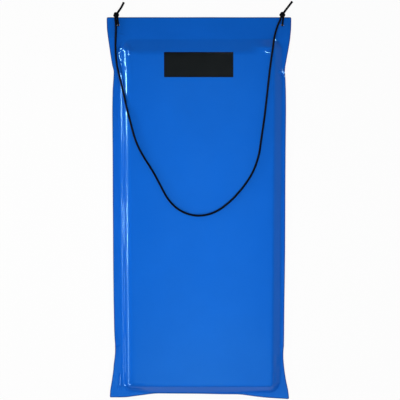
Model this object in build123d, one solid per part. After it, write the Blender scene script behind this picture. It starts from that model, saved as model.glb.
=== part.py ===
from build123d import *
from math import cos, pi, radians, sin, sqrt, tan
import os

# Flat foam toboggan: a foam slab between two vinyl sheets that are welded together round the edge,
# with a rope tied through a punched hole in each front corner.
# Millimetres. +Z is up, +Y is the rope end, and the toboggan lies flat on z = 0.

# Foam slab
foam_length = 851.0
foam_width = 368.0
foam_thickness = 44.0
foam_corner_radius = 12.0
foam_shift = 4.0            # the slab lies this far from the middle of the cover, towards +X

# Vinyl sheets
film = 0.6                  # thickness of one sheet
film_clearance = 0.3        # between a sheet and the foam
edge_radius = 8.0           # outside radius where a sheet turns over the edge of the slab
slope_angle = 40.0          # lean of the taut sheet beside the slab, from upright, degrees

# Welded flange round the slab
side_flange = 15.0
front_flange = 53.0
rear_flange = 4.0
rear_ear = 10.0             # extra length at the rear corners, where the slab does not draw the sheets in
rear_ear_width = 42.0       # length of the straight end of each rear ear
rear_ear_blend = 73.0       # length over which an ear falls back to the rear edge
cover_corner_radius = 3.0
front_droop = 12.5          # fall of the front flap towards the floor, degrees
droop_radius = 20.0
droop_clearance = 3.0       # level flange between the slab's foot and the start of the fall
front_waist_inset = 3.5     # the sides are drawn in a little further just behind the front corners
rear_waist_inset = 2.8
front_corner_run = 25.0     # straight side at each front corner
front_waist_distance = 132.0    # from the front edge to the front waist
front_waist_end = 220.0     # from the front edge to where the sides run straight
rear_waist_start = 345.0    # from the rear corners to where the sides run straight
rear_waist_distance = 121.0     # from the rear corners to the rear waist
corner_blend_radius = 200.0
waist_radius = 120.0
front_waist_end_radius = 1500.0
rear_waist_start_radius = 5000.0
ear_blend_radius = 200.0

# Label
label_width = 169.0
label_length = 61.0
label_thickness = 0.3
label_corner_radius = 1.5
label_front_margin = 8.8    # from the foot of the rounded front edge of the top face
label_shift = -1.0

# Rope and its knots
rope_diameter = 5.0
rope_clearance = 0.3        # between the rope and a sheet
hole_diameter = 7.0
hole_left_inset = 27.0      # from the side of the cover to the middle of the hole
hole_right_inset = 21.0
hole_front_inset = 19.0     # from the front edge, along the flap
knot_diameter = 14.0
knot_length = 12.0
knot_gap = 1.5              # from the flap's edge to the knot
knot_yaw_left = -6.0        # lean of the knot in plan, towards +X, degrees
knot_yaw_right = 6.0
tail_yaw_left = 45.0
tail_yaw_right = 51.0
tail_first = 7.0            # cut end beyond the knot, up to its bend
tail_reach_left = 26.0      # and past its bend, in plan
tail_reach_right = 31.5
tail_drop = 3.0             # height of the tail's tip over the floor, to the middle of the rope
rope_lead = 24.0            # rope behind each knot, along the flap
rope_stub = 5.0             # straight rope behind the right knot, before it leans
rope_lean = 6.5             # sideways lean of the rope behind the right knot, over its lead
route_share = 0.45          # part of the shorter run that an arc of the route takes up
tail_share = 0.9            # the same for a cut end's one bend
hole_share = 0.98           # the same for the tight turn through a hole

# Sizes that follow
slope = radians(slope_angle)
droop = radians(front_droop)
foam_edge_radius = edge_radius - film - film_clearance
seam_height = foam_thickness / 2 + film_clearance + film
total_height = 2 * seam_height
rim_to_foot = (edge_radius + (seam_height - edge_radius) * sin(slope)) / cos(slope)
foam_to_foot = rim_to_foot - foam_edge_radius
foot_half_width = foam_width / 2 + foam_to_foot
foot_length = foam_length + 2 * foam_to_foot
foot_corner_radius = foam_corner_radius + foam_to_foot
slope_length = seam_height / cos(slope)
slope_run = seam_height * tan(slope)
body_half_width = foot_half_width + side_flange
flat_half_width = body_half_width + slope_length - slope_run
cover_length = front_flange + foot_length + rear_flange + rear_ear
front_edge = cover_length / 2
rear_corner = -cover_length / 2
rear_edge = rear_corner + rear_ear
foot_front = front_edge - front_flange
foot_rear = foot_front - foot_length
foam_middle = (foot_front + foot_rear) / 2
bend_y = foot_front + droop_clearance
rope_radius = rope_diameter / 2
strand_offset = film + rope_clearance + rope_radius

os.makedirs("parts", exist_ok=True)


def dome(half_width, half_length, corner, height, rim):
    """Half of the bulge over the slab: a rounded rectangle leaning in to a flat face with a round rim."""
    foot = RectangleRounded(2 * half_width, 2 * half_length, corner)
    body = extrude(foot, amount=height, taper=slope_angle)
    return fillet(body.faces().sort_by(Axis.Z)[-1].edges(), rim)


def seam_curve(offset):
    """Side view of the seam, level and then falling to the front, moved square to itself by an offset."""
    reach = front_edge - bend_y + front_flange
    bend = bend_y + offset * tan(droop / 2)
    return FilletPolyline(
        (0, rear_corner - side_flange, seam_height + offset),
        (0, bend, seam_height + offset),
        (0, bend + reach * cos(droop), seam_height + offset - reach * sin(droop)),
        radius=droop_radius + offset,
    )


def seam_strip(low, high):
    """Strip of sheet between two offsets from the seam, across the whole width of the cover."""
    under = seam_curve(low)
    over = seam_curve(high)
    rear_end = Line(under @ 0, over @ 0)
    front_end = Line(under @ 1, over @ 1)
    side = make_face(under + front_end + over + rear_end)
    return extrude(side, amount=2 * flat_half_width, both=True)


# Foam slab, with all its edges rounded as the taut sheets press them
slab = Box(foam_width, foam_length, foam_thickness)
slab = fillet(slab.edges().filter_by(Axis.Z), foam_corner_radius)
slab_faces = slab.faces().sort_by(Axis.Z)
slab = fillet(slab_faces[0].edges() + slab_faces[-1].edges(), foam_edge_radius)
foam_core = Pos(foam_shift, foam_middle, seam_height) * slab

# Outline of the cover in plan: full width at the corners, drawn in along the slab
right_side = [
    (flat_half_width, front_edge),
    (flat_half_width, front_edge - front_corner_run),
    (body_half_width - front_waist_inset, front_edge - front_waist_distance),
    (body_half_width, front_edge - front_waist_end),
    (body_half_width, rear_corner + rear_waist_start),
    (body_half_width - rear_waist_inset, rear_corner + rear_waist_distance),
    (flat_half_width, rear_corner),
    (flat_half_width - rear_ear_width, rear_corner),
    (flat_half_width - rear_ear_width - rear_ear_blend, rear_edge),
]
right_radii = [
    cover_corner_radius,
    corner_blend_radius,
    waist_radius,
    front_waist_end_radius,
    rear_waist_start_radius,
    waist_radius,
    cover_corner_radius,
    ear_blend_radius,
    ear_blend_radius,
]
left_side = [(-x, y) for x, y in reversed(right_side)]
left_radii = list(reversed(right_radii))
outline = make_face(FilletPolyline(*right_side, *left_side, radius=right_radii + left_radii, close=True))
outline_prism = extrude(outline, amount=2 * total_height, both=True)

# The two sheets: flange strip and bulge together, hollowed by the bulge less one sheet's thickness
side_thickness = film / cos(slope)
bulge = dome(foot_half_width, foot_length / 2, foot_corner_radius, seam_height, edge_radius)
hollow = dome(
    foot_half_width - side_thickness,
    foot_length / 2 - side_thickness,
    foot_corner_radius - side_thickness,
    seam_height - film,
    edge_radius - film,
)
on_slab = Pos(foam_shift, foam_middle, seam_height)
hole_y = front_edge - hole_front_inset * cos(droop)
hole_z = seam_height - (hole_y - bend_y) * tan(droop)
flap_normal = Vector(0, sin(droop), cos(droop))
hole_xs = (-flat_half_width + hole_left_inset, flat_half_width - hole_right_inset)
hole_planes = [Plane(origin=(x, hole_y, hole_z), x_dir=(1, 0, 0), z_dir=flap_normal) for x in hole_xs]
punch_height = 6 * film
punch = [plane * Cylinder(hole_diameter / 2, punch_height) for plane in hole_planes]
cover_top = (seam_strip(0, film) & outline_prism) + on_slab * bulge - on_slab * hollow - punch
cover_bottom = (
    (seam_strip(-film, 0) & outline_prism)
    + on_slab * mirror(bulge, Plane.XY)
    - on_slab * mirror(hollow, Plane.XY)
    - punch
)

# Label lying on the top sheet
label_y = foot_front - rim_to_foot - label_front_margin - label_length / 2
label_plate = Box(label_width, label_length, label_thickness)
label_plate = fillet(label_plate.edges().filter_by(Axis.Z), label_corner_radius)
label = Pos(label_shift, label_y, total_height + label_thickness / 2) * label_plate


def tube(path):
    """Round rope along a path."""
    start = Plane(origin=path @ 0, z_dir=path % 0)
    return sweep(start * Circle(rope_radius), path=path)


def route_radii(points):
    """Radius at each corner of a route: a share of the shorter run over the tangent of half the turn."""
    radii = []
    for before, here, after in zip(points, points[1:], points[2:]):
        run_in = Vector(*here) - Vector(*before)
        run_out = Vector(*after) - Vector(*here)
        turn = radians(run_in.get_angle(run_out))
        radii.append(route_share * min(run_in.length, run_out.length) / tan(turn / 2))
    return radii


# Knots, the turns of rope through the holes, and the cut ends
knot_start = hole_front_inset + knot_gap
knot_side = -rope_radius - rope_clearance / 2
main_side = 2 * knot_side
knot_rim = knot_diameter / 2 - rope_radius - sqrt(knot_side ** 2 + strand_offset ** 2)
knots = []
loops = []
tails = []
rope_starts = []
rope_stubs = []
rope_leads = []
knot_yaws = (knot_yaw_left, knot_yaw_right)
tail_yaws = (tail_yaw_left, tail_yaw_right)
tail_reaches = (tail_reach_left, tail_reach_right)
rope_leans = (0, rope_lean)
for hole_plane, yaw, tail_yaw, reach, lean in zip(hole_planes, knot_yaws, tail_yaws, tail_reaches, rope_leans):
    # This frame lies in the flap at the hole, with y along the knot and z square to the flap
    frame = hole_plane.rotated((0, 0, -yaw))
    barrel = Cylinder(knot_diameter / 2, knot_length)
    barrel = fillet(barrel.edges(), knot_rim)
    barrel_place = Plane(
        origin=frame.from_local_coords((knot_side, knot_start + knot_length / 2, 0)), z_dir=frame.y_dir
    )
    knots.append(barrel_place * barrel)
    loop_points = [
        frame.from_local_coords((0, knot_start, strand_offset)),
        frame.from_local_coords((0, 0, strand_offset)),
        frame.from_local_coords((0, 0, -strand_offset)),
        frame.from_local_coords((0, knot_start, -strand_offset)),
    ]
    loops.append(tube(FilletPolyline(*loop_points, radius=hole_share * strand_offset)))
    tail_start = frame.from_local_coords((knot_side, knot_start + knot_length, 0))
    tail_corner = tail_start + frame.y_dir * tail_first
    tail_run = Vector(sin(radians(tail_yaw)), cos(radians(tail_yaw)), 0) * reach
    tail_tip = Vector(tail_corner.X + tail_run.X, tail_corner.Y + tail_run.Y, tail_drop)
    tail_points = [tail_start, tail_corner, tail_tip]
    tail_turn = radians((tail_corner - tail_start).get_angle(tail_tip - tail_corner))
    tail_radius = tail_share * tail_first / tan(tail_turn / 2)
    print("tail radius", round(tail_radius, 1))
    tails.append(tube(FilletPolyline(*tail_points, radius=tail_radius)))
    rope_starts.append(frame.from_local_coords((main_side, knot_start, strand_offset)))
    rope_stubs.append(frame.from_local_coords((main_side, knot_start - rope_stub, strand_offset)))
    rope_leads.append(frame.from_local_coords((main_side - lean, knot_start - rope_lead, strand_offset)))

# Route of the rope between its knots: back along the left flange and up, a loose U on the top sheet,
# and down over the right front corner
route = [
    rope_starts[0],
    rope_leads[0],
    (-205, 426, 27),
    (-206, 394, 27.5),
    (-203.5, 364, 29),
    (-197, 334, 37),
    (-188, 303, 48),
    (-178.5, 258, 53),
    (-166.5, 214, 49.5),
    (-155.5, 172, 48.8),
    (-137.5, 136, 48.8),
    (-114.5, 101, 48.8),
    (-95, 64, 48.8),
    (-76.5, 28, 48.8),
    (-48, 0.5, 48.8),
    (-8, -13, 48.8),
    (34.5, -6, 48.8),
    (70, 17.5, 48.8),
    (104.5, 53.5, 48.8),
    (132, 94, 48.8),
    (147, 137, 48.8),
    (152.5, 180, 48.8),
    (160, 231, 48.8),
    (165, 280, 48.8),
    (169, 329, 49.5),
    (174, 376, 53),
    (180, 414, 51.5),
    (186, 437, 36),
    rope_leads[1],
    rope_stubs[1],
    rope_starts[1],
]
route = [Vector(*point) for point in route]
radii = route_radii(route)
rope_path = FilletPolyline(*route, radius=radii)
pull_rope = tube(rope_path)

pieces = {
    "cover_top": cover_top,
    "cover_bottom": cover_bottom,
    "foam_core": foam_core,
    "label": label,
    "pull_rope": pull_rope,
    "knot_left": knots[0],
    "knot_right": knots[1],
    "rope_loop_left": loops[0],
    "rope_loop_right": loops[1],
    "rope_tail_left": tails[0],
    "rope_tail_right": tails[1],
}
for node, shape in pieces.items():
    export_step(shape, f"parts/{node}.step")
    box = shape.bounding_box()
    print(node, "solids", len(shape.solids()), "volume", round(shape.volume, 1), box.min, box.max)

print("cover", round(cover_length, 1), round(2 * flat_half_width, 1), round(total_height, 1))
rope_section = pi * rope_radius ** 2
print("rope length", round(rope_path.length, 1))
print("tube volume over section times length", round(pull_rope.volume / (rope_section * rope_path.length), 4))
print("smallest rope radius", round(min(radii), 1), "radii", [round(radius) for radius in radii])
print("route", [(round(point.X, 1), round(point.Y, 1), round(point.Z, 1)) for point in route])
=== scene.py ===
import bmesh
import bpy
import numpy as np
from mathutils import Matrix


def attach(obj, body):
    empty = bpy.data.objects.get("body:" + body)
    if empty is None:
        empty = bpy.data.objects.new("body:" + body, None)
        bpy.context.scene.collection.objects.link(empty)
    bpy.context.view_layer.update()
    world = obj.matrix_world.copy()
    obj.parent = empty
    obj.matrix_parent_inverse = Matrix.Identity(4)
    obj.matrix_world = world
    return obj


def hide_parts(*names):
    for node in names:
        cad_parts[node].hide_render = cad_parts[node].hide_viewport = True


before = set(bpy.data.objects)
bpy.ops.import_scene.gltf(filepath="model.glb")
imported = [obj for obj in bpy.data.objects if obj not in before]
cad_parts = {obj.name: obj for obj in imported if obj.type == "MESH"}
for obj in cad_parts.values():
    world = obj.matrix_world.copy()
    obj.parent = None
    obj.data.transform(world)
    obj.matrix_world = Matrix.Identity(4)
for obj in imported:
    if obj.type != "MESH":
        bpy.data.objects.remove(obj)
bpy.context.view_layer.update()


# Foam slab
# A slab of white closed-cell polyethylene foam, skived from a block. It lies loose between the two welded
# sheets, a little to the right of their middle, and their pull presses its edges round and its front thin.
millimetre = 0.001
foam_middle = np.array([4.0, -19.5, 22.9])
foam_half_width = 184.0
foam_half_length = 425.5
foam_half_thickness = 21.8
foam_corner = 16.0
foam_edge = 14.0
nose_start = 385.5
nose_length = 40.0
nose_share = 0.5
arc_points = 9
side_points = 24
edge_points = 7
face_steps = 8
sharp_degrees = 42


def linear(code):
    """Linear red, green, blue and a full alpha from an sRGB hex code."""
    srgb = np.array([int(code[i:i + 2], 16) for i in (1, 3, 5)]) / 255
    low = srgb / 12.92
    high = ((srgb + 0.055) / 1.055) ** 2.4
    return (*np.where(srgb <= 0.04045, low, high).tolist(), 1.0)


def add_node(tree, kind, sockets=None, **settings):
    """One node with its own settings. A socket, by name or number, takes a plain value or a linked output. A
    colour Mix takes its share at 0 and its two colours at 6 and 7, and gives the mixed one at 2."""
    made = tree.nodes.new(kind)
    for setting, value in settings.items():
        setattr(made, setting, value)
    for socket, value in (sockets or {}).items():
        if isinstance(value, bpy.types.NodeSocket):
            tree.links.new(value, made.inputs[socket])
        else:
            made.inputs[socket].default_value = value
    return made


def new_finish(name):
    """An empty node material, with its tree and its output node."""
    finish = bpy.data.materials.new(name)
    finish.use_nodes = True
    tree = finish.node_tree
    tree.nodes.clear()
    return finish, tree, add_node(tree, "ShaderNodeOutputMaterial")


def put_piece(name, points, faces, finish, node):
    """A smooth mesh from points in millimetres, which rides on the one body and stands for a solid."""
    mesh = bpy.data.meshes.new(name)
    mesh.from_pydata((points * millimetre).tolist(), [], faces.tolist())
    mesh.polygons.foreach_set("use_smooth", np.ones(len(mesh.polygons), dtype=bool))
    mesh.set_sharp_from_angle(angle=np.radians(sharp_degrees))
    mesh.materials.append(finish)
    piece = bpy.data.objects.new(name, mesh)
    bpy.context.scene.collection.objects.link(piece)
    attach(piece, "root")
    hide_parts(node)
    return piece


def weld_doubles(piece):
    """Joins points that lie on each other, so that poles and seams are closed."""
    shape = bmesh.new()
    shape.from_mesh(piece.data)
    bmesh.ops.remove_doubles(shape, verts=shape.verts, dist=0.001 * millimetre)
    shape.to_mesh(piece.data)
    shape.free()


def grid_faces(rows, columns, closed=False):
    """Four-cornered faces of a grid, numbered row by row; closed joins the last column to the first."""
    numbers = np.arange(rows * columns).reshape(rows, columns)
    if closed:
        numbers = np.concatenate([numbers, numbers[:, :1]], axis=1)
    corners = [numbers[:-1, :-1], numbers[:-1, 1:], numbers[1:, 1:], numbers[1:, :-1]]
    return np.stack(corners, axis=-1).reshape(-1, 4)


def rounded_outline(half_width, half_length, corner):
    """Points and outward directions round a rectangle: four quarter circles joined by straight sides."""
    turns = np.linspace(0, np.pi / 2, arc_points) + np.arange(4)[:, None] * np.pi / 2
    outward = np.stack([np.cos(turns), np.sin(turns)], axis=-1)
    signs = np.array([(1, 1), (-1, 1), (-1, -1), (1, -1)])
    centres = signs * (half_width - corner, half_length - corner)
    arcs = centres[:, None, :] + corner * outward
    share = np.linspace(0, 1, side_points + 2)[1:-1, None]
    sides = arcs[:, -1:, :] * (1 - share) + np.roll(arcs, -1, axis=0)[:, :1, :] * share
    along = np.repeat(outward[:, -1:, :], side_points, axis=1)
    points = np.concatenate([arcs, sides], axis=1).reshape(-1, 2)
    return points, np.concatenate([outward, along], axis=1).reshape(-1, 2)


# The slab's edge profile, carried round its outline; the faces close on the line along the slab's middle.
foam_outline, foam_outward = rounded_outline(foam_half_width, foam_half_length, foam_corner)
edge_turn = np.radians(np.concatenate([np.linspace(-90, 0, edge_points), np.linspace(0, 90, edge_points)]))
edge_side = np.repeat([-1, 1], edge_points)
edge_inset = foam_edge * (1 - np.cos(edge_turn))
edge_height = edge_side * (foam_half_thickness - foam_edge) + foam_edge * np.sin(edge_turn)
edge_rings = foam_outline - edge_inset[:, None, None] * foam_outward
spine_reach = foam_half_length - foam_half_width
spine_y = np.clip(foam_outline[:, 1], -spine_reach, spine_reach)
spine = np.column_stack([np.zeros_like(spine_y), spine_y])
face_share = np.linspace(0, 1, face_steps + 1)[1:, None, None]
face_rings = edge_rings[-1] * (1 - face_share) + spine * face_share
foam_plan = np.concatenate([face_rings[::-1], edge_rings, face_rings])
foam_rise = np.pad(edge_height, face_steps, mode="edge")
nose = 1 - nose_share * np.clip((foam_plan[..., 1] - nose_start) / nose_length, 0, 1) ** 2
foam_points = np.dstack([foam_plan, foam_rise[:, None] * nose]).reshape(-1, 3) + foam_middle

# White polyethylene foam: a dull waxy skin over cells of about 1 mm, which show as a fine pebbled grain.
foam_cell = 1.0
polyethylene_foam, tree, output = new_finish("white_polyethylene_foam")
place = add_node(tree, "ShaderNodeTexCoord")
cells = add_node(tree, "ShaderNodeTexVoronoi", {
    "Vector": place.outputs["Object"], "Scale": 1 / (foam_cell * millimetre),
})
foam_tint = add_node(tree, "ShaderNodeMix", {
    0: cells.outputs["Distance"], 6: linear("#f1f1ee"), 7: linear("#d9dad6"),
}, data_type="RGBA")
pebble = add_node(tree, "ShaderNodeBump", {
    "Height": cells.outputs["Distance"], "Strength": 0.3, "Distance": 0.3 * millimetre,
})
foam_shader = add_node(tree, "ShaderNodeBsdfPrincipled", {
    "Base Color": foam_tint.outputs[2], "Normal": pebble.outputs[0], "Roughness": 0.75, "IOR": 1.5,
})
tree.links.new(foam_shader.outputs[0], output.inputs["Surface"])

foam_faces = grid_faces(len(foam_rise), len(foam_outline), closed=True)
foam = put_piece("foam_slab", foam_points, foam_faces, polyethylene_foam, "foam_core")
weld_doubles(foam)


# Lower sheet of the cover
# Blue plasticised PVC film, cut flat and heat-welded to the upper sheet round a wide flange. Flat where the
# mat glides, it climbs round the slab to the weld at half height and hangs down a little at the front flap.
film = 0.6
weld_gap = 0.02
seam_level = foam_middle[2]
sheet_rise = 22.3
foot_middle = foam_middle[:2]
foot_half = np.array([199.85, 441.35])
foot_corner = 27.85
flap_bend = 424.85
flap_rounding = 2.2
flap_tilt = np.radians(12.5)
front_edge = 475.7
sheet_corner = 3.0
ear_place = 220.0
slack_reach = 18.0
side_wave_height = 0.8
flap_wave_height = 0.6
curl_start = 5.0
curl_slope = 0.085
flat_fade = 1.2
lower_hole_radius = 2.9
hole_middles = np.array([(-198.52, 456.3), (204.52, 456.3)])

# Slopes of a sheet as it climbs the slab, by the distance in from the foot line: soft on the left, long at
# the front, and crisp with a rim elsewhere. The lean shifts the soft slope out and in along the left side.
soft_slope = ([-2.4, 3.6, 5, 8, 12.8, 16, 19, 23, 31], [0, 0.65, 0.73, 1.38, 1.38, 0.73, 0.65, 0.26, 0])
soft_lean = ([-470, -300, -100, 120, 330, 352, 382, 400], [-1.8, -1.8, -0.4, -1, 0, 1.6, 3, 3])
front_slope = ([-4, 4, 28, 40], [0, 0.68, 0.68, 0])
crisp_slope = ([-2.5, 1.5, 17.5, 20.5, 24], [0, 1.1, 1.1, 0.45, 0])


def ramp(distance, rounding):
    """Nought before a bend and the distance itself after it, joined by a parabola over the rounding."""
    eased = (distance + rounding) ** 2 / (4 * rounding)
    return np.where(distance < -rounding, 0, np.where(distance > rounding, distance, eased))


def eased_past(value, start, ease):
    """Nought before a start and one from a length past it, with a smooth step over that length."""
    share = np.clip((value - start) / ease, 0, 1)
    return share * share * (3 - 2 * share)


def between(value, start, end, ease):
    """One between start and end and nought outside, eased over a length at both ends."""
    return np.minimum(eased_past(value, start, ease), eased_past(-value, -end, ease))


def smoothed(value, marks, levels, reach):
    """A line through marked levels, averaged over a reach to both sides, so that its kinks turn soft."""
    near = np.asarray(value)[..., None] + np.linspace(-reach, reach, 9)
    return np.interp(near, marks, levels).mean(axis=-1)


def wave(value, pace, start):
    """A sine along a line: so many millimetres to a radian, from a start in radians."""
    return np.sin(value / pace + start)


def past_corners(x, y):
    """How far a point lies past the middles of the foot line's corner arcs, across and along."""
    past_x = np.abs(x - foot_middle[0]) - (foot_half[0] - foot_corner)
    past_y = np.abs(y - foot_middle[1]) - (foot_half[1] - foot_corner)
    return past_x, past_y


def slab_inset(x, y):
    """How far a point lies inside the foot line, the rounded rectangle where a sheet leaves the flange."""
    past_x, past_y = past_corners(x, y)
    beyond = np.hypot(np.maximum(past_x, 0), np.maximum(past_y, 0))
    return foot_corner - beyond - np.minimum(np.maximum(past_x, past_y), 0)


def nearest_on(x, y, path):
    """Distance of each point from a path, and the height there: the last number of the path's places, which
    runs evenly from one to the next."""
    path = np.array(path, dtype=float)
    nearest = np.full(x.shape, np.inf)
    height = np.zeros(x.shape)
    for start, end in zip(path, path[1:]):
        run = (end - start)[:2]
        share = np.clip(((x - start[0]) * run[0] + (y - start[1]) * run[1]) / (run @ run), 0, 1)
        away = np.hypot(x - start[0] - share * run[0], y - start[1] - share * run[1])
        closer = away < nearest
        nearest = np.where(closer, away, nearest)
        height = np.where(closer, start[-1] + share * (end[-1] - start[-1]), height)
    return nearest, height


def fold(x, y, path, width):
    """A ridge along a path of places and heights: a bell across it, as high as the path is at its nearest
    place. Negative heights dent."""
    nearest, height = nearest_on(x, y, path)
    return height * np.exp(-(nearest / width) ** 2)


def press_flats(x, y, flats, shape):
    """A height field with narrow flats along paths: each is a plane of its own slopes through the middle
    place of its path, as high as the field is there, full over a half width and faded out beyond it."""
    height = shape(x, y)
    for path, half, slope_x, slope_y in flats:
        middle_x, middle_y = path[len(path) // 2]
        level = shape(np.array([middle_x]), np.array([middle_y]))[0]
        plane = level + slope_x * (x - middle_x) + slope_y * (y - middle_y)
        nearest = nearest_on(x, y, path)[0]
        share = eased_past(-nearest, start=-(1 + flat_fade) * half, ease=flat_fade * half)
        height = height + share * (plane - height)
    return height


# Buckles of the welded flange, which both sheets share: places and heights along each, and its half width.
flange_buckles = [
    ([(194, 344.6, 0), (198, 342.8, 1.6), (202.6, 341.2, 2.4), (210.8, 337.1, 2.6), (216, 334.4, 2.6)], 3.2),
    ([(203.5, 332, 0), (207, 330.2, 2.2), (216, 324.6, 2.8)], 3.8),
    ([(214.5, 320, 1.4), (214.5, 296, 0)], 8.0),
    ([(-199, 434.6, 0), (-190, 432.2, 1.4), (-180, 429.8, 0)], 2.6),
    ([(-214, -343, 3.2), (-205, -341.5, 1.8), (-197, -340, 0)], 2.2),
    ([(214, -342, 2), (205, -344, 1), (198, -346, 0)], 2.6),
    ([(199.8, -438, 0), (199.9, -445, -1), (200, -452, 0)], 3.0),
]

# Flat creases that the weld has set: the places along each, its half width and its slopes across and along.
flange_flats = [
    ([(207, 340.6), (210.5, 339), (214, 337.4)], 1.4, -0.605, -0.3),
    ([(206.4, 333.6), (209.8, 331.2), (215, 328)], 1.8, -0.605, -0.3),
    ([(-199.2, -416), (-199.2, -430), (-199.3, -444)], 1.5, 0.72, -0.05),
    ([(-203.4, -446.4), (-202.8, -447.9), (-202.2, -449.4)], 1.4, 0.625, 0.22),
]


def slack_weld(x, y):
    """Height of the weld: level beside the slab, curled up a little along the left edge and falling along
    the front flap, with slack waves and buckles."""
    outside = -slab_inset(x, y)
    fall = np.tan(flap_tilt) * ramp(y - flap_bend, flap_rounding)
    left_wave = wave(y, pace=29, start=0.4) * between(y, -430, 280, ease=60) * (x < 0)
    right_wave = wave(y, pace=24, start=1.9) * between(y, -430, 400, ease=60) * (x > 0)
    flap_wave = wave(x, pace=26, start=0.7) * between(x, -175, 175, ease=40) * between(y, 430, 480, ease=6)
    slack = np.clip(outside / slack_reach, 0, 1)
    waves = slack * (side_wave_height * (left_wave + right_wave) + flap_wave_height * flap_wave)
    curl = curl_slope * ramp(outside - curl_start, rounding=4) * between(y, -440, 330, ease=60) * (x < 0)
    buckles = sum(fold(x, y, *buckle) for buckle in flange_buckles)
    return seam_level - fall + waves + curl + buckles


def weld_height(x, y):
    """Height of the weld with its creases."""
    return press_flats(x, y, flange_flats, slack_weld)


def climb(inset, slope):
    """Rise over the weld: the marked slopes summed up from the foot line inwards, in steps of a tenth of a
    millimetre, and scaled to the sheet's rise."""
    insets = np.linspace(-6, 40, 461)
    rise = np.cumsum(np.interp(insets, *slope))
    return np.interp(inset, insets, sheet_rise * rise / rise[-1])


def bulge(x, y):
    """Rise of a sheet over the weld: long and gentle at the front, soft along the left of the slab, where
    the foot line leans out and in a little, and with a crisper rim on the right and at the rear."""
    inset = slab_inset(x, y)
    past_x, past_y = past_corners(x, y)
    left = eased_past(-x, start=110, ease=60)
    front = eased_past(past_y - past_x, start=-15, ease=30) * eased_past(-x, start=-165, ease=40) * (y > 0)
    lean = smoothed(y, *soft_lean, reach=8)
    sides = left * climb(inset + lean, soft_slope) + (1 - left) * climb(inset, crisp_slope)
    return front * climb(inset, front_slope) + (1 - front) * sides


# The cut outline, measured along its length: half widths on both sides, and the rear edge across the width.
side_marks = [
    -476, -455, -430, -404, -390, -375, -358, -342, -325, -303, -226, -99, 26,
    150, 249, 298, 322, 337, 346, 356, 370, 394, 419, 446, 466, 476,
]
left_halves = [
    225.4, 224, 219.6, 215.8, 214.9, 212.6, 211, 210.8, 212, 212.9, 214.05, 214.3, 214.2,
    213.85, 214, 212.8, 210.9, 210, 209.9, 213, 215.4, 218.9, 222.4, 226.1, 226.9, 226.9,
]
right_halves = [
    227, 224.4, 218.8, 214.8, 213.4, 212, 211.8, 213.1, 213.3, 213.4, 213.7, 214.6, 214.2,
    214, 214.45, 213.6, 212.4, 211.3, 211, 212, 214.4, 218.8, 222.9, 225.8, 226.5, 226.5,
]
rear_marks = [-226, -186, -112, 0, 60, 104, 155, 180, 226]
rear_edges = [-474.6, -474.6, -464.4, -465.2, -466.6, -466.8, -474, -476.2, -479]


def rear_edge_at(x):
    """Rear edge of the cut sheet: drawn in behind the slab, with an ear at each corner."""
    return smoothed(x, rear_marks, rear_edges, reach=10)


def half_width_at(y, side):
    """Half width of the cut sheet on one side: drawn in along the slab, least at two waists, and full at the
    corners, which are rounded off."""
    halves = right_halves if side > 0 else left_halves
    to_end = np.minimum(front_edge - y, y - rear_edge_at(ear_place * side))
    short = np.clip(sheet_corner - to_end, 0, sheet_corner)
    rounded = np.sqrt(sheet_corner ** 2 - short ** 2)
    return smoothed(y, side_marks, halves, reach=5) - sheet_corner + rounded


def steps(*runs):
    """Places along a line: each run is a start, an end and a spacing, and the last end is added."""
    parts = [
        np.linspace(start, end, max(2, round((end - start) / gap)) + 1)[:-1] for start, end, gap in runs
    ]
    return np.append(np.concatenate(parts), runs[-1][1])


def stretched(value, band, end, edge):
    """Places from a band's inner line outwards, moved so that the grid's end lies on the cut edge."""
    share = (value - band) / (end - band)
    return np.where(share > 0, band + share * (edge - band), value)


def cut_sheet():
    """Plan of a sheet as a grid, fine at its bends and folds, whose outer bands follow the cut outline."""
    left_end, left_band = -226, -204
    right_end, right_band = 226, 208
    rear_end, rear_band = -475, -462
    across = steps(
        (left_end, left_band, 1.3), (left_band, -172, 0.8), (-172, -164, 1.6), (-164, 158, 10),
        (158, 174, 1.2), (174, 196, 1.4), (196, right_band, 0.85), (right_band, right_end, 1.2),
    )
    along = steps(
        (rear_end, -473.8, 0.3), (-473.8, rear_band, 1.4), (rear_band, -436, 1), (-436, -330, 2.4),
        (-330, -296, 4), (-296, 290, 12), (290, 326, 2.4), (326, 350, 0.8), (350, 380, 1.4), (380, 402, 0.9),
        (402, 426, 1.5), (426, 447, 2.2), (447, 466, 1.4), (466, 472.4, 1.5), (472.4, front_edge, 0.4),
    )
    x, y = np.meshgrid(across, along)
    y = stretched(y, rear_band, rear_end, rear_edge_at(x))
    x = stretched(x, left_band, left_end, -half_width_at(y, -1))
    x = stretched(x, right_band, right_end, half_width_at(y, 1))
    return x, y


def punch_holes(plan, faces, radius):
    """Drops the faces over each hole and draws the points round the gap onto the hole's circle."""
    plan = plan.copy()
    middle = plan[faces].mean(axis=1)
    keep = np.ones(len(faces), dtype=bool)
    for hole in hole_middles:
        inside = np.hypot(*(middle - hole).T) < radius
        rim = np.intersect1d(faces[inside], faces[~inside])
        away = plan[rim] - hole
        plan[rim] = hole + away * (radius / np.hypot(*away.T))[:, None]
        keep &= ~inside
    return plan, faces[keep]


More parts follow.
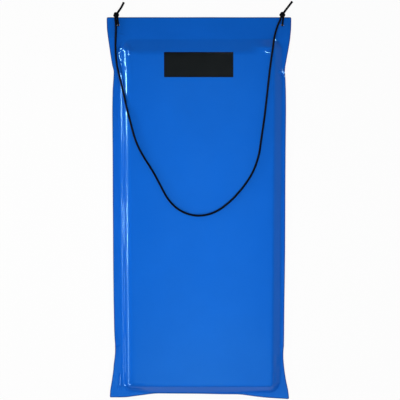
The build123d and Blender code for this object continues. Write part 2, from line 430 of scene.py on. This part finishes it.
def shell(outer, faces, thickness):
    """A film with two faces: the outer one, a copy moved in along its normals, and a rim at each open edge.
    The numbers of the outer points that are left in it come with it."""
    corners = outer[faces]
    crossing = np.cross(corners[:, 2] - corners[:, 0], corners[:, 3] - corners[:, 1])
    normals = np.zeros_like(outer)
    np.add.at(normals, faces.ravel(), np.repeat(crossing, 4, axis=0))
    used = np.unique(faces)
    outer = outer[used]
    normals = normals[used]
    faces = np.searchsorted(used, faces)
    inner = outer - thickness * normals / np.linalg.norm(normals, axis=1, keepdims=True)
    edges = np.stack([faces, np.roll(faces, -1, axis=1)], axis=-1).reshape(-1, 2)
    keys = np.sort(edges, axis=1) @ (len(outer), 1)
    first, counts = np.unique(keys, return_index=True, return_counts=True)[1:]
    open_edges = edges[first[counts == 1]]
    rim = np.concatenate([open_edges[:, ::-1], open_edges + len(outer)], axis=1)
    return np.concatenate([outer, inner]), np.concatenate([faces, faces[:, ::-1] + len(outer), rim]), used


def cut_edge_distance(x, y):
    """Distance of a point from the cut edge of its sheet, in millimetres."""
    sides = [x + half_width_at(y, -1), half_width_at(y, 1) - x]
    ends = [front_edge - y, y - rear_edge_at(x)]
    return np.minimum.reduce(sides + ends)


def put_sheet(name, plan, height, faces, node):
    """A sheet of film from its outer face. Each point keeps its distance from the cut edge, for the darker
    band in the finish."""
    points, faces, used = shell(np.column_stack([plan, height]), faces, film)
    piece = put_piece(name, points, faces, blue_vinyl, node)
    distance = np.tile(cut_edge_distance(*plan[used].T), 2)
    kept = piece.data.attributes.new("cut_edge", "FLOAT", "POINT")
    kept.data.foreach_set("value", distance.astype(np.float32))


# Calendered PVC film: a saturated blue, glossy skin with the faint orange peel of the calender rolls, about
# 4 mm across, slow changes of tint over 90 mm and rubbed gloss over 33 mm. A band 2 mm wide along the cut
# edge is drawn darker and duller.
clouds_per_metre = 11.0
rubs_per_metre = 30.0
peel_per_metre = 260.0
blue_vinyl, tree, output = new_finish("blue_calendered_pvc_film")
place = add_node(tree, "ShaderNodeTexCoord")
cloud = add_node(tree, "ShaderNodeTexNoise", {
    "Vector": place.outputs["Object"], "Scale": clouds_per_metre, "Detail": 3.0,
})
film_tint = add_node(tree, "ShaderNodeMix", {
    0: cloud.outputs[0], 6: linear("#1167d6"), 7: linear("#146de0"),
}, data_type="RGBA")
edge_kept = add_node(tree, "ShaderNodeAttribute", attribute_name="cut_edge")
edge_band = add_node(tree, "ShaderNodeMapRange", {
    "Value": edge_kept.outputs["Fac"], "From Min": 1.2, "From Max": 2.6, "To Min": 1.0, "To Max": 0.0,
}, interpolation_type="SMOOTHSTEP")
film_colour = add_node(tree, "ShaderNodeMix", {
    0: edge_band.outputs[0], 6: film_tint.outputs[2], 7: linear("#0b438f"),
}, data_type="RGBA")
handled = add_node(tree, "ShaderNodeTexNoise", {
    "Vector": place.outputs["Object"], "Scale": rubs_per_metre, "Detail": 4.0,
})
film_gloss = add_node(tree, "ShaderNodeMapRange", {
    "Value": handled.outputs[0], "From Min": 0.3, "From Max": 0.7, "To Min": 0.15, "To Max": 0.21,
})
edge_dull = add_node(tree, "ShaderNodeMath", {
    0: edge_band.outputs[0], 1: 0.2, 2: film_gloss.outputs[0],
}, operation="MULTIPLY_ADD")
peel = add_node(tree, "ShaderNodeTexNoise", {
    "Vector": place.outputs["Object"], "Scale": peel_per_metre, "Detail": 2.0,
})
peel_bump = add_node(tree, "ShaderNodeBump", {
    "Height": peel.outputs[0], "Strength": 0.12, "Distance": 0.4 * millimetre,
})
vinyl_shader = add_node(tree, "ShaderNodeBsdfPrincipled", {
    "Base Color": film_colour.outputs[2], "Roughness": edge_dull.outputs[0], "Normal": peel_bump.outputs[0],
    "IOR": 1.45, "Specular IOR Level": 0.14, "Specular Tint": linear("#84e9ff"),
})
tree.links.new(vinyl_shader.outputs[0], output.inputs["Surface"])

sheet_x, sheet_y = cut_sheet()
sheet_plan = np.column_stack([sheet_x.ravel(), sheet_y.ravel()])
sheet_grid = grid_faces(*sheet_x.shape)
lower_plan, lower_grid = punch_holes(sheet_plan, sheet_grid, lower_hole_radius)
lower_height = np.maximum(weld_height(*lower_plan.T) - weld_gap - film - bulge(*lower_plan.T), 0)
put_sheet("lower_sheet", lower_plan, lower_height, lower_grid[:, ::-1], "cover_bottom")


# Upper sheet of the cover
# The same film over the top of the slab, drawn tight enough to lie flat. Its slack gathers in short folds
# and dimples round the four corners, where the flange is drawn in, and in narrow facets down the left slope.
upper_hole_radius = 3.5
swell_height = 0.45
swell_inset = 16.0
swell_fade = 20.0
swell_waves = 7
swell_draw = np.random.default_rng(11)
swell_turn = swell_draw.uniform(0, 2 * np.pi, swell_waves)
swell_length = swell_draw.uniform(120, 300, swell_waves)
swell_start = swell_draw.uniform(0, 2 * np.pi, swell_waves)

# Folds and dimples of the upper sheet alone, at the corners and the right waist: places and heights along
# each, and its half width.
corner_folds = [
    ([(-201, 396.5, 0), (-196, 397, 2.6), (-190.5, 398.2, 3), (-186, 397, 1.6), (-182, 394, 0)], 4.0),
    ([(-198.4, 394, 0), (-196.8, 389.9, 3), (-193.9, 375.3, 2.6), (-190, 366.2, 1.2), (-188, 360, 0)], 3.4),
    ([(-189, 391, 0), (-188, 385, -1.6), (-187.6, 374, -1.4), (-186, 366, 0)], 3.0),
    ([(-186, 357, 0), (-181, 351, -1.2), (-176, 346, 0)], 3.0),
    ([(188, -405, 0), (188, -412, -1.2), (188, -430, -1.2), (188, -438, 0)], 2.6),
    ([(196, -360, 0), (194, -370, -1.4), (194, -390, -1.4), (193, -396, 0)], 5.0),
    ([(-195, -436, 0), (-188, -433, -1.4), (-180, -430, 0)], 4.0),
    ([(157, 392.6, 0), (162, 391, 0.8), (167.4, 388.6, 1.1), (172, 384.5, 0)], 3.0),
    ([(193, 347.2, 0), (197, 345.2, 2), (201, 343.2, 2.6), (206, 340.8, 1.6), (212, 337.8, 0)], 3.2),
]

# Facets in which the slack film lies, at the corners, across the right waist and down the left slope: the
# places along each, its half width and its slopes across and along.
film_facets = [
    ([(-192.6, 397.6), (-189.8, 398.4), (-186.4, 397.2)], 1.7, 0.715, 0.08),
    ([(-186, 396.4), (-184.4, 394.2), (-182.8, 391.4)], 1.3, 0.715, 0.08),
    ([(-196.8, 389.9), (-193.9, 375.3), (-190, 366.2)], 1.2, 0.71, 0.08),
    ([(-188.2, 365.4), (-192, 359.6), (-190.9, 352.6)], 0.9, 0.70, 0.06),
    ([(-172.3, 392.7), (-172.3, 388), (-172.3, 382.5)], 1.5, 0.72, 0.08),
    ([(161.5, 391.9), (167.4, 389.9), (171.2, 386.6)], 1.5, -0.223, -0.567),
    ([(197.5, 345.3), (205, 341.6), (213.5, 337.6)], 1.5, -0.605, -0.3),
    ([(-186.2, 210), (-186.6, 150), (-187, 80)], 1.5, 0.79, 0.005),
    ([(-187, 34), (-186.4, -36), (-186.8, -100)], 1.7, 0.75, -0.004),
    ([(-187, -135), (-186.4, -195), (-186, -262)], 1.6, 0.79, 0.01),
    ([(-185.6, -312), (-185.2, -358), (-185, -408)], 2.2, 0.785, 0.0),
    ([(-189.4, -382.1), (-192.2, -394), (-195.1, -406.4)], 1.0, 0.724, -0.04),
    ([(-192, -444.8), (-188.4, -443.3), (-184.4, -441.6)], 1.3, 0.625, 0.22),
]


def draped_film(x, y):
    """Outer face of the upper sheet without its facets: weld, film and bulge, the folds, and over the slab a
    slow swell, the mean of a few long waves in drawn directions."""
    height = weld_height(x, y) + weld_gap + film + bulge(x, y)
    height = height + sum(fold(x, y, *crease) for crease in corner_folds)
    along = np.multiply.outer(x, np.cos(swell_turn)) + np.multiply.outer(y, np.sin(swell_turn))
    swell = np.sin(2 * np.pi * (along / swell_length) + swell_start).mean(axis=-1)
    return height + swell_height * swell * np.clip((slab_inset(x, y) - swell_inset) / swell_fade, 0, 1)


def upper_height(x, y):
    """Outer face of the upper sheet with its facets, nowhere under the weld."""
    return np.maximum(press_flats(x, y, film_facets, draped_film), weld_height(x, y) + weld_gap + film)


upper_plan, upper_grid = punch_holes(sheet_plan, sheet_grid, upper_hole_radius)
put_sheet("upper_sheet", upper_plan, upper_height(*upper_plan.T), upper_grid, "cover_top")


# Label
# A rectangle of satin black printed film, left blank, with softly rounded corners. It is glued flat on the
# upper sheet near its front edge and follows the sheet's slow swell.
label_middle = np.array([-1.0, 359.6])
label_half = np.array([84.5, 30.5])
label_corner = 1.5
label_thickness = 0.3
label_rim = 1.6
glue_gap = 0.03


def label_steps(half):
    """Places over the label: close together along the two rims and wide between them."""
    return steps((-half, label_rim - half, 0.2), (label_rim - half, half - label_rim, 3.2),
                 (half - label_rim, half, 0.2))


label_x, label_y = np.meshgrid(label_steps(label_half[0]), label_steps(label_half[1]))
corner_short = np.clip(label_corner - (label_half[1] - np.abs(label_y)), 0, label_corner)
label_reach = label_half[0] - label_corner + np.sqrt(label_corner ** 2 - corner_short ** 2)
label_x = label_x * label_reach / label_half[0] + label_middle[0]
label_y = label_y + label_middle[1]
label_height = upper_height(label_x, label_y) + label_thickness
label_outer = np.dstack([label_x, label_y, label_height]).reshape(-1, 3)
label_points, label_faces, _ = shell(label_outer, grid_faces(*label_x.shape), label_thickness - glue_gap)

# Printed polyester film: near-black ink under a satin varnish, with handling marks of about 20 mm and a
# faint paper-like tooth of 0.7 mm.
marks_per_metre = 45.0
tooth_per_metre = 1400.0
black_print, tree, output = new_finish("black_printed_polyester_film")
place = add_node(tree, "ShaderNodeTexCoord")
rubbed = add_node(tree, "ShaderNodeTexNoise", {
    "Vector": place.outputs["Object"], "Scale": marks_per_metre, "Detail": 5.0,
})
ink = add_node(tree, "ShaderNodeMix", {
    0: rubbed.outputs[0], 6: linear("#0a1012"), 7: linear("#0f1618"),
}, data_type="RGBA")
varnish = add_node(tree, "ShaderNodeMapRange", {
    "Value": rubbed.outputs[0], "From Min": 0.3, "From Max": 0.7, "To Min": 0.38, "To Max": 0.5,
})
tooth = add_node(tree, "ShaderNodeTexNoise", {
    "Vector": place.outputs["Object"], "Scale": tooth_per_metre, "Detail": 2.0,
})
tooth_bump = add_node(tree, "ShaderNodeBump", {
    "Height": tooth.outputs[0], "Strength": 0.15, "Distance": 0.2 * millimetre,
})
print_shader = add_node(tree, "ShaderNodeBsdfPrincipled", {
    "Base Color": ink.outputs[2], "Roughness": varnish.outputs[0], "Normal": tooth_bump.outputs[0],
    "IOR": 1.45, "Specular IOR Level": 0.2,
})
tree.links.new(print_shader.outputs[0], output.inputs["Surface"])

put_piece("blank_label", label_points, label_faces, black_print, "label")


# Pull rope
# Black braided polypropylene cord, 5 mm thick, about 1.14 m between its two knots. It runs back along the
# left flange, climbs onto the mat, lies there in a loose U and drops over the slab's right front corner.
rope_radius = 2.5
rope_route = [
    (-206.0, 476.4, 14.8), (-203.2, 453.1, 20.0), (-204.2, 426, 26.8), (-205, 394, 27), (-202.5, 364, 27.2),
    (-196.4, 334, 29.5), (-187.6, 303, 39), (-178.3, 258, 46.8), (-166.5, 214, 49.2), (-155.5, 172, 48.8),
    (-137.5, 136, 48.8), (-114.5, 101, 48.8), (-95, 64, 48.8), (-76.5, 28, 48.8), (-48, 0.5, 48.8),
    (-8, -13, 48.8), (34.5, -6, 48.8), (70, 17.5, 48.8), (104.5, 53.5, 48.8), (132, 94, 48.8),
    (147, 137, 48.8), (152.5, 180, 48.8), (160, 231, 48.8), (165.4, 280, 48.8), (170.4, 329, 49),
    (176, 376, 50), (180.6, 406, 49.5), (182.6, 421, 38), (187, 438, 28.5), (192.5, 454.9, 20.0),
    (200.9, 472.6, 15.9), (201.4, 477.5, 14.8),
]
rope_sides = 32
strands_round = 8
braid_step = 2.4
braid_relief = 0.28
strand_bluntness = 0.7
strand_dip = 0.45
strand_mean = 0.75
threads_in_strand = 2
upright = np.array([[0, 0, 1.0]])


def rope_line(name, route, fineness):
    """Points along the smooth NURBS line of a route, in millimetres, read from a curve with no bevel."""
    curve = bpy.data.curves.new(name, "CURVE")
    curve.dimensions = "3D"
    curve.resolution_u = fineness
    line = curve.splines.new("NURBS")
    line.points.add(len(route) - 1)
    weighted = np.column_stack([np.array(route) * millimetre, np.ones(len(route))])
    line.points.foreach_set("co", weighted.ravel())
    line.order_u = 3
    line.use_endpoint_u = True
    holder = bpy.data.objects.new(name, curve)
    read = bpy.data.meshes.new_from_object(holder)
    points = np.empty(3 * len(read.vertices))
    read.vertices.foreach_get("co", points)
    bpy.data.objects.remove(holder)
    bpy.data.curves.remove(curve)
    bpy.data.meshes.remove(read)
    return points.reshape(-1, 3) / millimetre


def unit(vectors):
    """Vectors brought to length one."""
    return vectors / np.linalg.norm(vectors, axis=-1, keepdims=True)


def pointed_girth(line, radius):
    """The same radius all along a line, closed to a point at both ends."""
    girth = np.full(len(line), radius)
    girth[[0, -1]] = 0
    return girth


def braided_tube(line, side, girth, looped):
    """Braid round a line: a circle in the plane of the side direction, raised where a strand comes over. Two
    sets of strands wind opposite ways, and in each cell of their lattice the one on top is a bell across."""
    spread = np.roll(line, -1, axis=0) - np.roll(line, 1, axis=0) if looped else np.gradient(line, axis=0)
    forward = unit(spread)
    right = unit(side - np.sum(side * forward, axis=1, keepdims=True) * forward)
    over = np.cross(right, forward)
    gaps = np.linalg.norm(np.diff(line, axis=0), axis=1)
    along = np.concatenate([[0], np.cumsum(gaps)])
    turn = np.linspace(0, 2 * np.pi, rope_sides + 1)
    lay = strands_round * turn / (2 * np.pi)
    winding = lay + along[:, None] / braid_step
    counter = lay - along[:, None] / braid_step
    winding_on_top = (np.floor(winding) + np.floor(counter)) % 2 == 0
    across = np.where(winding_on_top, winding % 1, counter % 1)
    lengthwise = np.where(winding_on_top, counter % 1, winding % 1)
    dip = 1 - strand_dip + strand_dip * np.sin(np.pi * lengthwise)
    crown = np.sin(np.pi * across) ** strand_bluntness * dip
    reach = girth[:, None] * (1 + braid_relief / rope_radius * (crown - strand_mean))
    ring = np.cos(turn)[:, None] * right[:, None, :] + np.sin(turn)[:, None] * over[:, None, :]
    points = line[:, None, :] + reach[..., None] * ring
    thread = threads_in_strand * np.where(winding_on_top, winding, -counter)
    return points, np.stack([np.broadcast_to(along[:, None], thread.shape), thread], axis=-1)


def put_rope(name, line, side, girth, node, looped=False):
    """A rope piece along a line: each ring closes on itself, and the rings close or end in a point."""
    points, pattern = braided_tube(line, side, girth, looped)
    if looped:
        points = np.concatenate([points, points[:1]])
        pattern = np.concatenate([pattern, pattern[:1]])
    faces = grid_faces(*points.shape[:2])[:, ::-1]
    piece = put_piece(name, points.reshape(-1, 3), faces, black_braid, node)
    layer = piece.data.uv_layers.new(name="braid")
    layer.data.foreach_set("uv", pattern.reshape(-1, 2)[faces.ravel()].ravel())
    weld_doubles(piece)
    return piece


# Braided polypropylene multifilament: deep black strands with a slight waxy sheen on their crowns and dusty
# patches of about 11 mm. The single filaments, about 0.05 mm, are drawn as coarse as 0.3 mm to show.
dust_per_metre = 90.0
black_braid, tree, output = new_finish("black_braided_polypropylene")
pattern_place = add_node(tree, "ShaderNodeUVMap", uv_map="braid")
filaments = add_node(tree, "ShaderNodeTexWave", {
    "Vector": pattern_place.outputs[0], "Scale": 1.0, "Distortion": 1.5, "Detail": 1.0,
}, bands_direction="Y")
filament_bump = add_node(tree, "ShaderNodeBump", {
    "Height": filaments.outputs[1], "Strength": 0.35, "Distance": 0.2 * millimetre,
})
rope_place = add_node(tree, "ShaderNodeTexCoord")
dust = add_node(tree, "ShaderNodeTexNoise", {
    "Vector": rope_place.outputs["Object"], "Scale": dust_per_metre, "Detail": 4.0,
})
rope_tint = add_node(tree, "ShaderNodeMix", {
    0: dust.outputs[0], 6: linear("#020409"), 7: linear("#060a12"),
}, data_type="RGBA")
rope_shader = add_node(tree, "ShaderNodeBsdfPrincipled", {
    "Base Color": rope_tint.outputs[2], "Normal": filament_bump.outputs[0], "Roughness": 0.75, "IOR": 1.49,
    "Specular IOR Level": 0.07,
})
tree.links.new(rope_shader.outputs[0], output.inputs["Surface"])

main_line = rope_line("rope_route", rope_route, fineness=64)
main_rope = put_rope("braided_rope", main_line, upright, pointed_girth(main_line, rope_radius), "pull_rope")


# Knots, turns through the holes and cut ends
# At each front corner the rope goes through the punched hole, back round the flap's edge and into a tight
# overhand knot, and its cut end, sealed with a flame, sticks out in front.
flap_across = np.array([1.0, 0, 0])
flap_normal = np.array([0, np.sin(flap_tilt), np.cos(flap_tilt)])
flap_along = np.cross(flap_normal, flap_across)
hole_height = 15.93
turn_offset = 3.4
turn_rear = -0.9
turn_run = 6.0
turn_end = 23.5
turn_girth = 0.96 * rope_radius
knot_middle = (-2.65, 26.5)
knot_half = (3.4, 3.0)
knot_pull = 1.75 / 3.2
knot_lift = 2.1
knot_girth = 0.95 * rope_radius
knot_points = 240
end_girth = 1.1 * rope_radius
melt_swell = 0.2
melt_place = 1.2
tip_length = 1.0
knot_degrees = {"left": 6.0, "right": -6.0}
end_routes = {
    "left": [(-203, 480.5, 11), (-199.4, 489, 8), (-191.6, 499, 5.4), (-185, 513, 3.6)],
    "right": [(206, 484, 11), (210.6, 490.4, 8.5), (220, 502.6, 5.4), (229.6, 514.9, 3.6)],
}

tied_pieces = []
for corner, hole in zip(("left", "right"), hole_middles):
    knot_turn = np.radians(knot_degrees[corner])
    knot_x = np.cos(knot_turn) * flap_across + np.sin(knot_turn) * flap_along
    knot_y = np.cos(knot_turn) * flap_along - np.sin(knot_turn) * flap_across
    corner_axes = np.stack([knot_x, knot_y, flap_normal])
    hole_place = np.array([*hole, hole_height])

    # The turn: back along the flap to the hole, down through it and forward again underneath.
    turn_route = np.array([
        (0, turn_end, turn_offset), (0, turn_run, turn_offset), (0, turn_rear, turn_offset),
        (0, turn_rear, 0),
        (0, turn_rear, -turn_offset), (0, turn_run, -turn_offset), (0, turn_end, -turn_offset),
    ]) @ corner_axes + hole_place
    turn_line = rope_line("turn_route", turn_route, fineness=24)
    turn_piece = put_rope("rope_turn_" + corner, turn_line, knot_x[None],
                          pointed_girth(turn_line, turn_girth), "rope_loop_" + corner)

    # The knot: a closed trefoil, twice round its middle, and three times in and out and up and down.
    phase = np.linspace(0, 2 * np.pi, knot_points + 1)[:-1]
    swing = 2 * phase + np.pi / 2
    spoke = 1 + knot_pull * np.cos(3 * phase)
    knot_line = np.column_stack([
        knot_half[0] * spoke * np.cos(swing) + knot_middle[0],
        knot_half[1] * spoke * np.sin(swing) + knot_middle[1],
        knot_lift * np.sin(3 * phase),
    ]) @ corner_axes + hole_place
    knot_piece = put_rope("knot_tied_" + corner, knot_line, flap_normal[None],
                          np.full(knot_points, knot_girth), "knot_" + corner, looped=True)
    tied_pieces += [turn_piece, knot_piece]

    # The cut end: swollen where the flame melted it, and rounded off over its last millimetre.
    end_line = rope_line("end_route", end_routes[corner], fineness=40)
    to_tip = np.linalg.norm(end_line - end_line[-1], axis=1)
    melted = 1 + melt_swell * np.exp(-((to_tip - melt_place) / melt_place) ** 2)
    closing = np.sqrt(np.clip(1 - (1 - np.clip(to_tip / tip_length, 0, 1)) ** 2, 0, 1))
    girth = end_girth * melted * closing
    girth[0] = 0
    end_piece = put_rope("rope_end_" + corner, end_line, upright, girth, "rope_tail_" + corner)


# Floor, light and camera
# A plain white floor that keeps a faint shadow, softboxes above, on the left and in front, gridded strips
# and lamps that draw the bright lines of the film, and a dim sky. The camera looks nearly straight down.
floor_half = 30.0
floor_level = -0.0006
floor_mesh = bpy.data.meshes.new("floor")
floor_mesh.from_pydata([
    (-floor_half, -floor_half, floor_level), (floor_half, -floor_half, floor_level),
    (floor_half, floor_half, floor_level), (-floor_half, floor_half, floor_level),
], [], [(0, 1, 2, 3)])
floor = bpy.data.objects.new("floor", floor_mesh)
bpy.context.scene.collection.objects.link(floor)

# White paper: to the camera and in reflections it glows white, and a twentieth of it stays dull and keeps
# the shadow.
white_floor, tree, output = new_finish("white_paper_floor")
light_path = add_node(tree, "ShaderNodeLightPath")
seen_or_mirrored = add_node(tree, "ShaderNodeMath", {
    0: light_path.outputs["Is Camera Ray"], 1: light_path.outputs["Is Glossy Ray"],
}, operation="MAXIMUM")
seen = add_node(tree, "ShaderNodeMath", {
    0: seen_or_mirrored.outputs[0], 1: light_path.outputs["Is Transmission Ray"],
}, operation="MAXIMUM")
glow_share = add_node(tree, "ShaderNodeMath", {0: seen.outputs[0], 1: 0.95}, operation="MULTIPLY")
paper = add_node(tree, "ShaderNodeBsdfDiffuse", {"Color": linear("#f2f2f2")})
glow = add_node(tree, "ShaderNodeEmission", {"Color": linear("#ffffff"), "Strength": 1.0})
paper_mix = add_node(tree, "ShaderNodeMixShader", {
    0: glow_share.outputs[0], 1: paper.outputs[0], 2: glow.outputs[0],
})
tree.links.new(paper_mix.outputs[0], output.inputs["Surface"])
floor_mesh.materials.append(white_floor)

# The sky is even and dim, and dark overhead, so that the flat face keeps its own blue. A bright patch behind
# the zenith makes the rear of that face a little paler.
dark_pole = (0, 0.17, 0.985)
bright_pole = (0, -0.33, 0.944)
world = bpy.data.worlds.new("studio")
bpy.context.scene.world = world
world.use_nodes = True
tree = world.node_tree
tree.nodes.clear()
sky_place = add_node(tree, "ShaderNodeTexCoord")
to_dark = add_node(tree, "ShaderNodeVectorMath", {
    0: sky_place.outputs["Generated"], 1: dark_pole,
}, operation="DOT_PRODUCT")
even_level = add_node(tree, "ShaderNodeMapRange", {
    "Value": to_dark.outputs["Value"], "From Min": 0.6, "From Max": 0.97, "To Min": 0.36, "To Max": 0.06,
}, interpolation_type="SMOOTHSTEP")
to_bright = add_node(tree, "ShaderNodeVectorMath", {
    0: sky_place.outputs["Generated"], 1: bright_pole,
}, operation="DOT_PRODUCT")
patch_level = add_node(tree, "ShaderNodeMapRange", {
    "Value": to_bright.outputs["Value"], "From Min": 0.985, "From Max": 1.0, "To Min": 0.0, "To Max": 5.5,
}, interpolation_type="SMOOTHSTEP")
sky_level = add_node(tree, "ShaderNodeMath", {
    0: even_level.outputs[0], 1: patch_level.outputs[0],
}, operation="ADD")
sky = add_node(tree, "ShaderNodeBackground", {"Color": linear("#ffffff"), "Strength": sky_level.outputs[0]})
add_node(tree, "ShaderNodeOutputWorld", {"Surface": sky.outputs[0]})


def hang_lamp(name, stand, target, size, power, fan=180):
    """A rectangular area lamp on its stand, turned to face a target, whose grid keeps its light in a fan of
    some degrees."""
    lamp = bpy.data.lights.new(name, "AREA")
    lamp.shape = "RECTANGLE"
    lamp.size, lamp.size_y = size
    lamp.energy = power
    lamp.spread = np.radians(fan)
    holder = bpy.data.objects.new(name, lamp)
    bpy.context.scene.collection.objects.link(holder)
    aim = np.array(target) - np.array(stand)
    holder.location = stand
    holder.visible_camera = False
    holder.rotation_euler = (np.arctan2(np.hypot(aim[0], aim[1]), -aim[2]), 0, np.arctan2(-aim[0], aim[1]))
    return holder


# Softboxes light the object and show in no reflection: stand, target and size in metres, and power in watts.
softboxes = [
    ("overhead_softbox", (0.02, -0.13, 0.65), (0.02, -0.13, 0), (0.3, 1.15), 2.95),
    ("left_softbox", (-1.3, 0.0, 0.33), (-0.18, 0.0, 0.03), (1.2, 0.12), 7.2),
    ("front_softbox", (0, 1.6, 0.45), (0, 0.4, 0.03), (0.8, 0.3), 0.9),
]
for softbox in softboxes:
    hang_lamp(*softbox).visible_glossy = False

# Strips and small lamps show in reflections only. Their last number is the fan that their grids leave.
gridded_lamps = [
    ("left_front_strip", (-1.3, 0.3, 0.33), (-0.18, 0.3, 0.03), (0.3, 0.09), 3.1, 70),
    ("left_middle_strip", (-1.3, -0.2, 0.33), (-0.18, -0.2, 0.03), (0.3, 0.09), 1.6, 60),
    ("left_rear_strip", (-1.3, -0.65, 0.33), (-0.18, -0.65, 0.03), (0.45, 0.09), 0.75, 60),
    ("front_right_lamp", (0.675, 1.52, 0.62), (0.167, 0.389, 0.046), (0.25, 0.1), 0.13, 10),
    ("right_strip", (0.636, 0.5425, 0.184), (0.206, 0.34, 0.028), (0.06, 0.06), 0.022, 6),
    ("rear_left_lamp", (-1.25, -1.1, 0.35), (-0.19, -0.43, 0.03), (0.25, 0.1), 0.06, 16),
]
for gridded_lamp in gridded_lamps:
    hang_lamp(*gridded_lamp).visible_diffuse = False

# A long lens 3 m over the front half, tipped a little towards the rear.
camera_place = (0.00225, 0.3132, 3.0092)
camera_tip = np.radians(-5.5)
camera_data = bpy.data.cameras.new("camera")
camera_data.sensor_width = 36
camera_data.lens = 108.7
camera = bpy.data.objects.new("camera", camera_data)
bpy.context.scene.collection.objects.link(camera)
camera.location = camera_place
camera.rotation_euler = (camera_tip, 0, 0)
bpy.context.scene.camera = camera
bpy.context.scene.view_settings.view_transform = "Standard"
